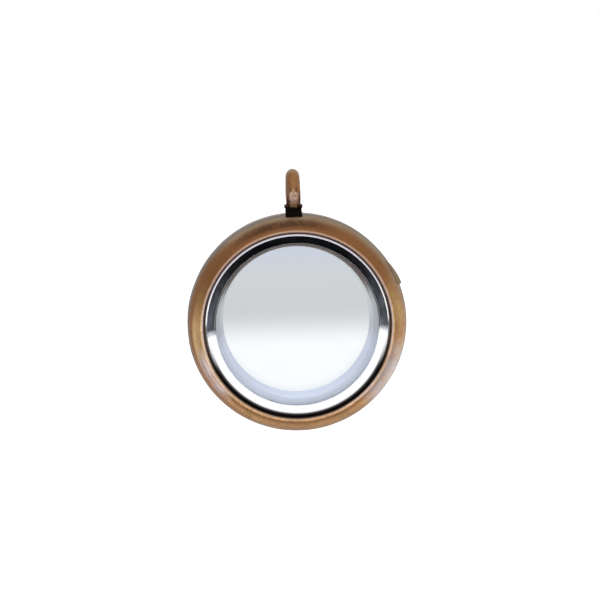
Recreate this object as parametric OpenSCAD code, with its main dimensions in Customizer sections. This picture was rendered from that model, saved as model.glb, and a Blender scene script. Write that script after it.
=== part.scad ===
// Hinged glass window locket with a swinging bail.
// The origin is the centre of the bail's chain opening. +X points to the right of someone who
// looks at the front, +Y to the back of the locket and +Z up. Sizes are in millimetres.

/* [Case] */
// Outside diameter of the case
case_d = 30; // [28:0.5:34]
// Thickness of the shut case, from front land to back land
case_t = 7.8; // [7.8:0.1:9]
// Thickness of the front cover
cover_t = 2.2; // [2.1:0.1:2.3]
// Radius of the rounded outside of the rim
edge_r = 3; // [2.8:0.1:3.2]
// Width of the rim round the window
rim_w = 2.3; // [2.2:0.1:2.6]
// Width of the land between the window and the rounding
land_w = 0.35; // [0.25:0.05:0.4]
// Chamfer on the window edge
lip_chamfer = 0.12; // [0.05:0.01:0.15]
// Gap between the cover and the case when they are shut
seam_gap = 0.06; // [0.04:0.01:0.1]

/* [Window] */
// Thickness of each glass
glass_t = 0.8; // [0.7:0.1:0.9]
// Depth of the glass below the land
glass_depth = 0.8; // [0.75:0.05:0.9]
// Wall of the gasket round the glass
gasket_w = 0.2; // [0.15:0.05:0.25]
// Height of the gasket
gasket_h = 1.2; // [1:0.1:1.4]
// Width of the polished ring
ring_w = 1.5; // [1.3:0.1:1.6]
// Height of the polished ring's ridge above the glass
ridge_h = 0.7; // [0.6:0.02:0.74]
// Width of the polished ring's outer bevel
outer_bevel_w = 0.3; // [0.2:0.05:0.4]
// Height of the polished ring's outer wall
ring_wall_h = 0.47; // [0.42:0.01:0.5]
// Height of the polished ring's inner edge
ring_edge_h = 0.14; // [0.1:0.02:0.2]

/* [Chamber liner] */
// Outside radius of the liner, and of the opening through both rims
liner_r = 11.3; // [11.3:0.1:11.4]
// Bore radius of the liner's mouth, at its front end
liner_mouth_r = 11.2; // [11:0.05:11.25]
// Length of the flare behind the liner's mouth
liner_flare_l = 1.2; // [1:0.1:1.4]
// Bore radius of the liner behind its flare
liner_front_r = 10.5; // [10.4:0.05:10.6]
// Bore radius of the liner at its back end
liner_back_r = 10.2; // [10.1:0.05:10.3]
// Set-back of the liner's front end behind the seam
liner_setback = 0.1; // [0.05:0.05:0.2]

/* [Hinge] */
// Distance from the outside of the rim in to the hinge axis
pivot_in = 0.65; // [0.5:0.05:0.7]
// Outside radius of the hinge knuckles
knuckle_r = 0.5; // [0.5:0.05:0.6]
// Radius of the hinge pin
hinge_pin_r = 0.25; // [0.2:0.05:0.3]
// Length of the hinge along its pin
hinge_l = 4.4; // [4.2:0.1:5]
// Length of the cover's knuckle
cover_knuckle_l = 1.68; // [1.6:0.02:2]
// End gap between knuckles
knuckle_gap = 0.06; // [0.04:0.01:0.1]
// Thickness of the web that carries each side knuckle
web_t = 0.5; // [0.4:0.05:0.6]
// Width of the leaf that carries the cover's knuckle
leaf_w = 1.1; // [0.9:0.05:1.2]
// Radial clearance of a pin in a bore that turns on it
running_gap = 0.04; // [0.02:0.01:0.06]

/* [Closure] */
// Radius of each magnet
magnet_r = 0.7; // [0.6:0.05:0.7]
// Length of each magnet
magnet_l = 0.8; // [0.6:0.05:0.8]
// Distance from the outside of the rim in to a magnet's centre
magnet_in = 1.3; // [1.25:0.05:1.35]
// Angle of each magnet above and below the middle of the closing side
magnet_angle = 12; // [9:1:15]
// Angle of the nail tab's steep end above the closing side
tab_from = 20; // [18:1:24]
// Angle that the nail tab spans
tab_span = 14; // [12:1:18]
// Height of the nail tab above the rim
tab_proud = 0.22; // [0.16:0.02:0.3]
// Thickness of the nail tab
tab_t = 0.6; // [0.5:0.05:0.7]

/* [Bail] */
// Radius of the opening for the chain
chain_bore_r = 1.5; // [1.4:0.05:1.6]
// Thickness of the bail's band
band_t = 0.95; // [0.9:0.05:1]
// Width of the bail's band
band_w = 2; // [1.8:0.1:2]
// Distance from the bail pin up to the middle of the chain opening
bail_rise = 2.6; // [2.6:0.05:2.8]
// Height of the bail pin above the rim
pin_rise = 0.9; // [0.9:0.05:1.1]
// Set-back of the bail pin behind the middle of the case
pin_setback = 0.05; // [0:0.05:0.3]
// Radius of the bail pin
bail_pin_r = 0.22; // [0.2:0.01:0.25]
// Radius of the bail pin's heads
pin_head_r = 0.29; // [0.26:0.01:0.32]
// Height of the bail pin's heads
pin_head_h = 0.14; // [0.1:0.02:0.18]
// Distance from the bail pin down to the top of the lug's foot
foot_drop = 0.65; // [0.65:0.01:0.7]
// Outside radius of the shoulders that keep the bail's full width down to the ears
shoulder_r = 2.3; // [2.2:0.05:2.35]
// Width of the lug
lug_w = 2.2; // [2.2:0.1:2.4]
// Depth of the relief in the cover's rim in front of the lug
relief_depth = 0.42; // [0.36:0.02:0.46]
// Side gap between the relief and the lug
relief_gap = 0.04; // [0.02:0.01:0.06]
// Width of the bail's tongue between the lug's ears
tongue_w = 1; // [0.9:0.05:1]
// Side gap between the tongue and each ear
tongue_gap = 0.02; // [0.02:0.01:0.05]
// Radius of the lug's ears and of the tongue's end
ear_r = 0.52; // [0.5:0.01:0.52]

/* [Hidden] */

// Every circle above 12 segments is a true circle
$fn = 96;
// Cutting tools pass this far through what they cut
past = 1;

case_r = case_d / 2;
half_t = case_t / 2;
window_r = case_r - rim_w;

// Centre of the arc that rounds the rim. It meets the land at its outer edge.
arc_r = case_r - edge_r;
arc_f = half_t - sqrt(pow(edge_r, 2) - pow(window_r + land_w - arc_r, 2));

// Distances in front of the middle of the case
seam_f = half_t - cover_t;
cover_face_f = seam_f + seam_gap / 2;
case_face_f = seam_f - seam_gap / 2;
glass_out_f = half_t - glass_depth;
glass_in_f = glass_out_f - glass_t;

glass_r = window_r - gasket_w;

// The knuckles lie just behind the seam, in a groove that only the rear rim has
pivot_x = pivot_in - case_r;
pivot_f = case_face_f - knuckle_r;
leaf_left = 0.4;
leaf_h = cover_face_f - pivot_f;
groove_r = knuckle_r + 0.4;
groove_l = hinge_l + 0.1;
side_knuckle_l = (hinge_l - cover_knuckle_l) / 2 - knuckle_gap;
side_knuckle_z = (hinge_l - side_knuckle_l) / 2;

// The tab's outer arc runs from its steep end down to just inside the rim at its other end
tab_tip_r = case_r + tab_proud;
tab_end_r = case_r - 0.1;
tab_offset = (pow(tab_tip_r, 2) - pow(tab_end_r, 2)) / (2 * (tab_tip_r - tab_end_r * cos(tab_span)));
tab_arc_r = tab_tip_r - tab_offset;
tab_root_r = case_r - 0.7;

pin_z = case_r + pin_rise;
foot_top_z = pin_z - foot_drop;
foot_bottom_z = case_r - 0.7;
foot_back = 1.5;
slot_w = tongue_w + 2 * tongue_gap;
ear_clear_r = ear_r + 0.08;
band_arc_r = band_w / 2;
band_out_r = chain_bore_r + band_t;
// Sine of the angle at which the tongue's sides leave the upright
flank_sin = (band_out_r - ear_r) / bail_rise;
flank_cos = sqrt(1 - pow(flank_sin, 2));

case_drop = bail_rise + pin_z;

// Puts a part drawn round the middle of the case in its place below the bail
module in_case() {
    translate([0, -pin_setback, -case_drop]) children();
}

// Turns a section about the case axis. Its x is the radius and its y the distance to the front.
module lathe() {
    rotate([90, 0, 0]) rotate_extrude() children();
}

// A cylinder along X
module cross_pin(r, l) {
    rotate([0, 90, 0]) cylinder(r = r, h = l, center = true);
}

// ---- sections of the rim and of what it holds ----

// Rim outline: a thick band whose outer corners are rounded and whose faces end in flat lands
module rim_outline() {
    intersection() {
        translate([0, -half_t]) square([case_r, case_t]);
        union() {
            translate([0, -half_t]) square([arc_r, case_t]);
            translate([0, -arc_f]) square([case_r, 2 * arc_f]);
            for (side = [-1, 1]) translate([arc_r, side * arc_f]) circle(r = edge_r);
        }
    }
}

// Everything taken out of a rim for its front window: the seat, the view and the edge chamfer
module window_cut() {
    translate([0, glass_in_f]) square([window_r, half_t]);
    polygon([
        [window_r - past, half_t - lip_chamfer],
        [window_r, half_t - lip_chamfer],
        [window_r + lip_chamfer, half_t],
        [window_r + lip_chamfer, half_t + past],
        [window_r - past, half_t + past]
    ]);
}

module cover_section() {
    difference() {
        rim_outline();
        translate([0, -case_t]) square([case_d, case_t + cover_face_f]);
        square([liner_r, case_t]);
        window_cut();
    }
}

module case_section() {
    difference() {
        rim_outline();
        translate([0, case_face_f]) square([case_d, case_t]);
        translate([0, -case_t]) square([liner_r, 2 * case_t]);
        mirror([0, 1]) window_cut();
    }
}

module gasket_section() {
    translate([glass_r, glass_in_f]) square([gasket_w, gasket_h]);
}

module glass_section() {
    translate([0, glass_in_f]) square([glass_r, glass_t]);
}

// Polished ring: a ridge with a narrow bevel outside and a wide one towards the glass
module ring_section() {
    translate([glass_r - ring_w, glass_out_f]) polygon([
        [0, 0],
        [ring_w, 0],
        [ring_w, ring_wall_h],
        [ring_w - outer_bevel_w, ridge_h],
        [0, ring_edge_h]
    ]);
}

// ---- pieces used by both halves ----

// Pockets or magnets on the closing side, starting at a seam face and running into the rim
module magnet_set(face_f, direction) {
    for (side = [-1, 1]) {
        rotate([0, side * magnet_angle, 0])
            translate([case_r - magnet_in, -face_f, 0])
                rotate([90 * direction, 0, 0])
                    cylinder(r = magnet_r, h = magnet_l);
    }
}

// Puts a part drawn round the middle of the hinge axis in its place on the case
module at_hinge() {
    translate([pivot_x, -pivot_f, 0]) children();
}

// Groove for the hinge in the rear rim
module hinge_cut() {
    at_hinge() cylinder(r = groove_r, h = groove_l, center = true);
}

// A knuckle of the given length and bore. What carries it is drawn by the children.
module knuckle(length, bore_r) {
    difference() {
        union() {
            cylinder(r = knuckle_r, h = length, center = true);
            children();
        }
        cylinder(r = bore_r, h = length + past, center = true);
    }
}

// Web that runs from a side knuckle to the wall of the groove
module web() {
    intersection() {
        cylinder(r = groove_r, h = side_knuckle_l, center = true);
        translate([0, -web_t / 2, -side_knuckle_l / 2]) cube([groove_r, web_t, side_knuckle_l]);
    }
}

// Leaf that runs from the cover's knuckle forwards to the cover's seam face
module leaf() {
    translate([-leaf_left, -leaf_h, -cover_knuckle_l / 2]) cube([leaf_w, leaf_h, cover_knuckle_l]);
}

// The nail tab's full shape, with its root inside the rim
module tab_shape() {
    translate([0, -cover_face_f, 0])
        rotate([90, 0, 0])
            linear_extrude(height = tab_t)
                difference() {
                    intersection() {
                        rotate(tab_from) translate([tab_offset, 0]) circle(r = tab_arc_r);
                        polygon([
                            [0, 0],
                            case_d * [cos(tab_from), sin(tab_from)],
                            case_d * [cos(tab_from + tab_span), sin(tab_from + tab_span)]
                        ]);
                    }
                    circle(r = tab_root_r);
                }
}

// Foot of the lug, let into the top of the rear rim and flush with its seam face
module lug_foot() {
    translate([-lug_w / 2, -case_face_f, foot_bottom_z])
        cube([lug_w, case_face_f + foot_back, foot_top_z - foot_bottom_z]);
}

// Relief in the cover's rim that leaves the front of the lug's foot in view
module lug_relief() {
    translate([-lug_w / 2 - relief_gap, -half_t, case_r - relief_depth])
        cube([lug_w + 2 * relief_gap, half_t, relief_depth + past]);
}

// ---- front cover ----

module front_bezel() {
    color("peru")
        in_case()
            difference() {
                lathe() cover_section();
                magnet_set(cover_face_f, 1);
                tab_shape();
                lug_relief();
            }
}

module front_gasket() {
    color("black") in_case() lathe() gasket_section();
}

module front_window_ring() {
    color("silver") in_case() lathe() ring_section();
}

module front_glass() {
    color("lightcyan", 0.4) in_case() lathe() glass_section();
}

module front_magnets() {
    color("gainsboro") in_case() magnet_set(cover_face_f, 1);
}

module front_knuckle() {
    color("sienna")
        in_case()
            at_hinge()
                knuckle(cover_knuckle_l, hinge_pin_r + running_gap) leaf();
}

module nail_tab() {
    color("darkkhaki") in_case() tab_shape();
}

// ---- rear case ----

module rear_case() {
    color("peru")
        in_case()
            difference() {
                lathe() case_section();
                hinge_cut();
                magnet_set(case_face_f, -1);
                lug_foot();
            }
}

module rear_gasket() {
    color("black") in_case() lathe() mirror([0, 1]) gasket_section();
}

module rear_window_ring() {
    color("silver") in_case() lathe() mirror([0, 1]) ring_section();
}

module rear_glass() {
    color("lightcyan", 0.4) in_case() lathe() mirror([0, 1]) glass_section();
}

// Polished sleeve that lines the chamber. Its mouth is flared and its bore narrows towards the back.
module chamber_liner() {
    color("silver")
        in_case()
            lathe()
                polygon([
                    [liner_back_r, -glass_in_f],
                    [liner_r, -glass_in_f],
                    [liner_r, case_face_f - liner_setback],
                    [liner_mouth_r, case_face_f - liner_setback],
                    [liner_front_r, case_face_f - liner_setback - liner_flare_l]
                ]);
}

module rear_magnets() {
    color("gainsboro") in_case() magnet_set(case_face_f, -1);
}

module rear_knuckles() {
    color("sienna")
        in_case()
            at_hinge()
                for (side = [-1, 1]) {
                    translate([0, 0, side * side_knuckle_z])
                        knuckle(side_knuckle_l, hinge_pin_r) web();
                }
}

module hinge_pin() {
    color("dimgray")
        in_case()
            at_hinge()
                cylinder(r = hinge_pin_r, h = hinge_l, center = true);
}

// Two ears on a foot, with a slot for the bail's tongue
module bail_lug() {
    color([0.12, 0.09, 0.08])
        in_case()
            difference() {
                union() {
                    lug_foot();
                    translate([-lug_w / 2, pin_setback - ear_r, foot_bottom_z])
                        cube([lug_w, 2 * ear_r, pin_z - foot_bottom_z]);
                    translate([0, pin_setback, pin_z]) cross_pin(ear_r, lug_w);
                }
                translate([-slot_w / 2, -case_r, foot_top_z])
                    cube([slot_w, case_d, case_r]);
                translate([0, pin_setback, pin_z]) cross_pin(bail_pin_r, lug_w + past);
            }
}

module bail_pin() {
    color("dimgray")
        translate([0, 0, -bail_rise]) {
            cross_pin(bail_pin_r, lug_w + pin_head_h);
            for (side = [-1, 1]) {
                translate([side * (lug_w + pin_head_h) / 2, 0, 0])
                    cross_pin(pin_head_r, pin_head_h);
            }
        }
}

// ---- bail ----

// Round band with a domed outside. Its bore runs along X.
module bail_band() {
    rotate([0, 90, 0])
        rotate_extrude()
            intersection() {
                translate([band_out_r - band_arc_r, 0]) circle(r = band_arc_r);
                translate([chain_bore_r, -band_w]) square([band_w, 2 * band_w]);
            }
}

// Shoulders below the chain opening, as wide as the band
module bail_shoulders() {
    difference() {
        cross_pin(shoulder_r, band_w);
        cross_pin(chain_bore_r, band_w + past);
        translate([-band_w, -case_r, band_arc_r - band_out_r]) cube([2 * band_w, case_d, case_d]);
    }
}

// Tongue below the band, in side view: two flanks that run from the band to the tongue's round end
module tongue_outline() {
    difference() {
        union() {
            polygon([
                [-band_out_r * flank_cos, -band_out_r * flank_sin],
                [band_out_r * flank_cos, -band_out_r * flank_sin],
                [ear_r * flank_cos, -bail_rise - ear_r * flank_sin],
                [-ear_r * flank_cos, -bail_rise - ear_r * flank_sin]
            ]);
            translate([0, -bail_rise]) circle(r = ear_r);
        }
        circle(r = chain_bore_r);
    }
}

module bail() {
    color("peru")
        difference() {
            union() {
                difference() {
                    union() {
                        bail_band();
                        bail_shoulders();
                    }
                    translate([0, 0, -bail_rise]) cross_pin(ear_clear_r, band_w + past);
                }
                rotate([90, 0, 90])
                    linear_extrude(height = tongue_w, center = true) tongue_outline();
            }
            translate([0, 0, -bail_rise]) cross_pin(bail_pin_r + running_gap, band_w + past);
        }
}

front_bezel();
front_gasket();
front_window_ring();
front_glass();
front_magnets();
front_knuckle();
nail_tab();
rear_case();
rear_gasket();
rear_window_ring();
rear_glass();
chamber_liner();
rear_magnets();
rear_knuckles();
hinge_pin();
bail_lug();
bail_pin();
bail();
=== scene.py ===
"""Round hinged window locket in aged copper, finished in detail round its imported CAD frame.

Blender works in metres. Sizes here are in millimetres and are turned into metres where a mesh,
a light or the camera is made. The case has an axis of its own that runs from the back to the
front: a section point is (r, f), its distance from that axis and its distance in front of the
middle of the case. Angles round the case start at +X and turn towards +Z.
"""

import math
from types import SimpleNamespace

import bmesh
import bpy
from mathutils import Matrix, Vector, noise


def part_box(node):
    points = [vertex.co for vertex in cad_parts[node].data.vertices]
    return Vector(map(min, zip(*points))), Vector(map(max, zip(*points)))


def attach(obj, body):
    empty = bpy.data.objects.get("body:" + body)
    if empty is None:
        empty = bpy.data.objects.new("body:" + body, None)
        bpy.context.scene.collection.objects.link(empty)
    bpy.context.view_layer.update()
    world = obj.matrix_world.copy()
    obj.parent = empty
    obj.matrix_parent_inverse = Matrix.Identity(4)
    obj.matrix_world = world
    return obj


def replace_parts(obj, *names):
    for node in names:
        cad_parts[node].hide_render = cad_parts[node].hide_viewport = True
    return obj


MM = 0.001

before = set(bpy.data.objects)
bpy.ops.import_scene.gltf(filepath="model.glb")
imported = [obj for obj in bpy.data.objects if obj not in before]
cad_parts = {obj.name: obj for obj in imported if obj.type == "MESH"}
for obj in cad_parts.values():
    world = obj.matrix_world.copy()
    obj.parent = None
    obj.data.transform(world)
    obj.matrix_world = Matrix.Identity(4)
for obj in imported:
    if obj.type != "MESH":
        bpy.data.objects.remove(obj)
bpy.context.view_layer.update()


# ---- sizes read from the frame ----


def corners(node):
    """Lowest and highest corner of a CAD node, in millimetres."""
    low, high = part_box(node)
    return low / MM, high / MM


bezel_low, bezel_high = corners("front_bezel")
case_low, case_high = corners("rear_case")
glass_low, glass_high = corners("front_glass")
ring_low = corners("front_window_ring")[0]
seal_low, seal_high = corners("front_gasket")
liner_low, liner_high = corners("chamber_liner")
lug_low, lug_high = corners("bail_lug")
bail_high = corners("bail")[1]
bail_pin_low, bail_pin_high = corners("bail_pin")
hinge_low, hinge_high = corners("hinge_pin")
knuckle_low, knuckle_high = corners("front_knuckle")
side_low, side_high = corners("rear_knuckles")

case_middle = (case_low + case_high) / 2
CASE = Vector((case_middle.x, (bezel_low.y + case_high.y) / 2, case_middle.z))
CASE_R = (case_high.z - case_low.z) / 2
HALF_T = (case_high.y - bezel_low.y) / 2
COVER_FACE = CASE.y - bezel_high.y
CASE_FACE = CASE.y - case_low.y
GLASS_R = (glass_high.x - glass_low.x) / 2
GLASS_IN = CASE.y - glass_high.y
GLASS_OUT = CASE.y - glass_low.y
WINDOW_R = (seal_high.x - seal_low.x) / 2
SEAL_TOP = CASE.y - seal_low.y
RIDGE_F = CASE.y - ring_low.y
LINER_R = (liner_high.x - liner_low.x) / 2
LINER_FRONT = CASE.y - liner_low.y

# ---- sizes of the section that no box gives ----

EDGE_R = 3.0
ARC_R = CASE_R - EDGE_R
LAND_OUT = WINDOW_R + 0.35
ARC_F = HALF_T - math.sqrt(EDGE_R**2 - (LAND_OUT - ARC_R) ** 2)
LIP = 0.12
OVERHANG = 0.08
RING_IN = GLASS_R - 1.5
RIDGE_R = GLASS_R - 0.3
RING_WALL = GLASS_OUT + 0.47
RING_EDGE = GLASS_OUT + 0.14
RING_REACH = 0.06  # how far the ring's outer edge reaches over the gasket
RING_LIFT = 0.01
LINER_MOUTH_R = 11.2
LINER_FLARE = 1.2
LINER_FRONT_R = 10.5
LINER_BACK_R = 10.2
SEAM_SOFT = 0.05
SEAM_STEP = 0.015
GLASS_SOFT = 0.06

HINGE_X = (hinge_low.x + hinge_high.x) / 2
HINGE_Y = (hinge_low.y + hinge_high.y) / 2
HINGE_PIN_R = (hinge_high.x - hinge_low.x) / 2
KNUCKLE_R = (side_high.y - side_low.y) / 2
GROOVE_R = KNUCKLE_R + 0.4
HINGE_L = hinge_high.z - hinge_low.z
COVER_KNUCKLE_L = knuckle_high.z - knuckle_low.z
SIDE_KNUCKLE_L = (HINGE_L - COVER_KNUCKLE_L) / 2 - 0.06
WEB_T = 0.5
KNUCKLE_SOFT = 0.03
KNUCKLE_END_SOFT = 0.12
LEAF_LEFT = 0.4
LEAF_W = 1.1
RUNNING_GAP = 0.04

MAGNET_R = 0.7
MAGNET_L = 0.8
MAGNET_SOFT = 0.05
POCKET_SPARE = 0.2
MAGNET_AT = CASE_R - 1.3
MAGNET_ANGLES = (-12, 12)
TAB_FROM = 20
TAB_SPAN = 14
TAB_PROUD = 0.22
TAB_T = 0.6
TAB_SOFT = 0.14
TAB_SINK = 0.1  # how far inside the outline the tab's upper end runs out
TAB_ROOT = CASE_R - 0.7

BORE_R = 1.5
BAND_OUT_R = bail_high.z
BAND_HALF = bail_high.x
BAND_DOMED = 2
BAND_FULL = 6
PIN_DROP = (bail_pin_low.z + bail_pin_high.z) / 2
BAIL_PIN_R = 0.22
PIN_SOFT = 0.06
PIN_HEAD_R = (bail_pin_high.z - bail_pin_low.z) / 2
LUG_HALF = lug_high.x
EAR_R = lug_high.z - PIN_DROP
TONGUE_HALF = 0.5
SLOT_HALF = TONGUE_HALF + 0.02
FOOT_TOP = PIN_DROP - 0.65
EAR_CLEAR_R = EAR_R + 0.08
RELIEF_DEPTH = 0.42
RELIEF_GAP = 0.04
EAR_CUT = 0.2
LUG_SOFT = 0.04
BAIL_SOFT = 0.03
BAIL_TAPER = 0.07
TAPER_FROM = -1.6

# ---- wear and mesh quality ----

CASE_WEAR = (0.012, 0.45)  # depth of the wear, and how fine it is
LUG_WEAR = (0.01, 2.0)
BAIL_WEAR = (0.01, 1.2)
STEPS_ROUND = 360
SHARP_DEG = 35
RING_SHARP_DEG = 50
CUT_MERGE = 0.0005
BEVEL_MERGE = 0.002
BEVEL_SLIVER = 0.001
PAST = 1.0  # how far a cutting shape runs past what it cuts


# ---- outlines ----


def arc(centre, radius, start, end, steps):
    """Points on an arc, angles in degrees."""
    points = []
    for i in range(steps + 1):
        a = math.radians(start + (end - start) * i / steps)
        points.append((centre[0] + radius * math.cos(a), centre[1] + radius * math.sin(a)))
    return points


def rounded(outline, steps=4):
    """Rounds the corners of a closed outline of (x, y, radius) points."""
    result = []
    count = len(outline)
    for i, (x, y, radius) in enumerate(outline):
        here = Vector((x, y))
        before = Vector(outline[i - 1][:2]) - here
        after = Vector(outline[(i + 1) % count][:2]) - here
        if radius <= 0:
            result.append((x, y))
            continue
        half = before.angle(after) / 2
        reach = min(radius / math.tan(half), before.length * 0.45, after.length * 0.45)
        start = here + before.normalized() * reach
        end = here + after.normalized() * reach
        for k in range(steps + 1):
            t = k / steps
            result.append(tuple(start * (1 - t) ** 2 + here * 2 * t * (1 - t) + end * t**2))
    return result


def smooth(t):
    """Smooth step from 0 to 1, level beyond both."""
    t = min(1.0, max(0.0, t))
    return t * t * (3 - 2 * t)


def mirrored(section):
    """The same section for the back half of the case."""
    return [(r, -f) for r, f in reversed(section)]


# ---- meshes ----


def new_piece(name, build, body, material, sharp=SHARP_DEG):
    """Makes an object from a bmesh that is in millimetres."""
    bmesh.ops.recalc_face_normals(build, faces=build.faces[:])
    bmesh.ops.scale(build, vec=(MM, MM, MM), verts=build.verts[:])
    mesh = bpy.data.meshes.new(name)
    build.to_mesh(mesh)
    build.free()
    mesh.shade_smooth()
    mesh.set_sharp_from_angle(angle=math.radians(sharp))
    piece = bpy.data.objects.new(name, mesh)
    bpy.context.scene.collection.objects.link(piece)
    piece.data.materials.append(material)
    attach(piece, body)
    return piece


def turned(build, steps, points_at):
    """Rings of vertices. points_at gives the points of the ring at an angle."""
    rings = []
    for i in range(steps):
        points = points_at(2 * math.pi * i / steps)
        rings.append([build.verts.new(point) for point in points])
    return rings


def skin(build, rings, closed=True):
    """Faces between neighbouring rings of vertices, and from the last ring to the first."""
    for i, ring in enumerate(rings):
        following = rings[(i + 1) % len(rings)]
        count = len(ring)
        for k in range(count if closed else count - 1):
            m = (k + 1) % count
            build.faces.new((ring[k], ring[m], following[m], following[k]))


def about_case_axis(section):
    """Gives the points of a section of (r, f) points at an angle round the case."""
    return lambda a: [
        (CASE.x + r * math.cos(a), CASE.y - f, CASE.z + r * math.sin(a)) for r, f in section
    ]


def lathe(section):
    """A closed section of (r, f) points turned about the case axis."""
    build = bmesh.new()
    skin(build, turned(build, STEPS_ROUND, about_case_axis(section)))
    return build


def disc(outline):
    """A solid disc. Its outline runs from the axis at the front, round the edge, to the axis behind."""
    build = bmesh.new()
    front = build.verts.new((CASE.x, CASE.y - outline[0][1], CASE.z))
    back = build.verts.new((CASE.x, CASE.y - outline[-1][1], CASE.z))
    rings = turned(build, STEPS_ROUND, about_case_axis(outline[1:-1]))
    skin(build, rings, closed=False)
    for ring, following in zip(rings, rings[1:] + rings[:1]):
        build.faces.new((front, ring[0], following[0]))
        build.faces.new((back, following[-1], ring[-1]))
    return build


def prism(outline, low, high, turn):
    """An outline of 2-D points drawn out from low to high and then put in place by a matrix."""
    build = bmesh.new()
    near = [build.verts.new((x, y, low)) for x, y in outline]
    far = [build.verts.new((x, y, high)) for x, y in outline]
    count = len(outline)
    build.faces.new(near[::-1])
    build.faces.new(far)
    for k in range(count):
        m = (k + 1) % count
        build.faces.new((near[k], near[m], far[m], far[k]))
    build.transform(turn)
    return build


def rod(radius, length, middle, axis, steps=64, round_by=0.0):
    """A rod centred on a point, along an axis. Its end edges can be rounded."""
    half = length / 2
    side = [(radius, -half), (radius, half)]
    if round_by > 0:
        low = arc((radius - round_by, round_by - half), round_by, -90, 0, 4)
        high = arc((radius - round_by, half - round_by), round_by, 0, 90, 4)
        side = [*low, *high]
    build = bmesh.new()
    rings = turned(build, steps, lambda a: [(r * math.cos(a), r * math.sin(a), h) for r, h in side])
    skin(build, rings, closed=False)
    build.faces.new([ring[0] for ring in rings])
    build.faces.new([ring[-1] for ring in rings][::-1])
    turn = Vector((0, 0, 1)).rotation_difference(Vector(axis)).to_matrix().to_4x4()
    build.transform(Matrix.Translation(Vector(middle)) @ turn)
    bmesh.ops.recalc_face_normals(build, faces=build.faces[:])
    return build


def block(low, high):
    """A plain box between two corners, used only to build up or cut other shapes."""
    build = bmesh.new()
    size = Vector(high) - Vector(low)
    place = Matrix.Translation((Vector(low) + Vector(high)) / 2) @ Matrix.Diagonal((*size, 1))
    bmesh.ops.create_cube(build, size=1, matrix=place)
    return build


def shape_object(build):
    """A plain object for a Boolean step."""
    bmesh.ops.recalc_face_normals(build, faces=build.faces[:])
    mesh = bpy.data.meshes.new("shape")
    build.to_mesh(mesh)
    build.free()
    shape = bpy.data.objects.new("shape", mesh)
    bpy.context.scene.collection.objects.link(shape)
    return shape


def combined(build, *steps):
    """Joins or cuts a shape with others. Each step is ("UNION" or "DIFFERENCE", shape)."""
    base = shape_object(build)
    helpers = []
    for operation, other in steps:
        helper = shape_object(other)
        helpers.append(helper)
        change = base.modifiers.new("change", "BOOLEAN")
        change.operation = operation
        change.solver = "EXACT"
        change.object = helper
    bpy.context.view_layer.update()
    evaluated = base.evaluated_get(bpy.context.evaluated_depsgraph_get())
    result = bmesh.new()
    result.from_mesh(evaluated.to_mesh())
    evaluated.to_mesh_clear()
    for used in [base, *helpers]:
        mesh = used.data
        bpy.data.objects.remove(used)
        bpy.data.meshes.remove(mesh)
    bmesh.ops.remove_doubles(result, verts=result.verts[:], dist=CUT_MERGE)
    bmesh.ops.dissolve_degenerate(result, edges=result.edges[:], dist=CUT_MERGE)
    if not result.faces:
        raise RuntimeError("a Boolean step left nothing")
    return result


def softened(build, width, segments=2, angle=40):
    """Rounds the edges of a shape that turn by more than an angle."""
    bmesh.ops.recalc_face_normals(build, faces=build.faces[:])
    build.normal_update()
    shared = [e for e in build.edges if len(e.link_faces) == 2]
    edges = [e for e in shared if e.calc_face_angle(0) > math.radians(angle)]
    bmesh.ops.bevel(
        build, geom=edges, offset=width, offset_type="OFFSET", segments=segments,
        profile=0.5, affect="EDGES", clamp_overlap=True,
    )
    bmesh.ops.remove_doubles(build, verts=build.verts[:], dist=BEVEL_MERGE)
    bmesh.ops.dissolve_degenerate(build, edges=build.edges[:], dist=BEVEL_SLIVER)
    return build


def worn(build, depth, grain):
    """Lowers the surface a little, unevenly, as years of handling do. It never stands proud."""
    bmesh.ops.recalc_face_normals(build, faces=build.faces[:])
    build.normal_update()
    moves = []
    for v in build.verts:
        wave = noise.fractal(v.co * grain, 1.0, 2.0, 3, noise_basis="PERLIN_ORIGINAL")
        moves.append(v.normal * -depth * min(1.0, max(0.0, 0.5 + 0.5 * wave)))
    for v, move in zip(build.verts, moves):
        v.co += move
    return build


# ---- node materials ----


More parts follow.
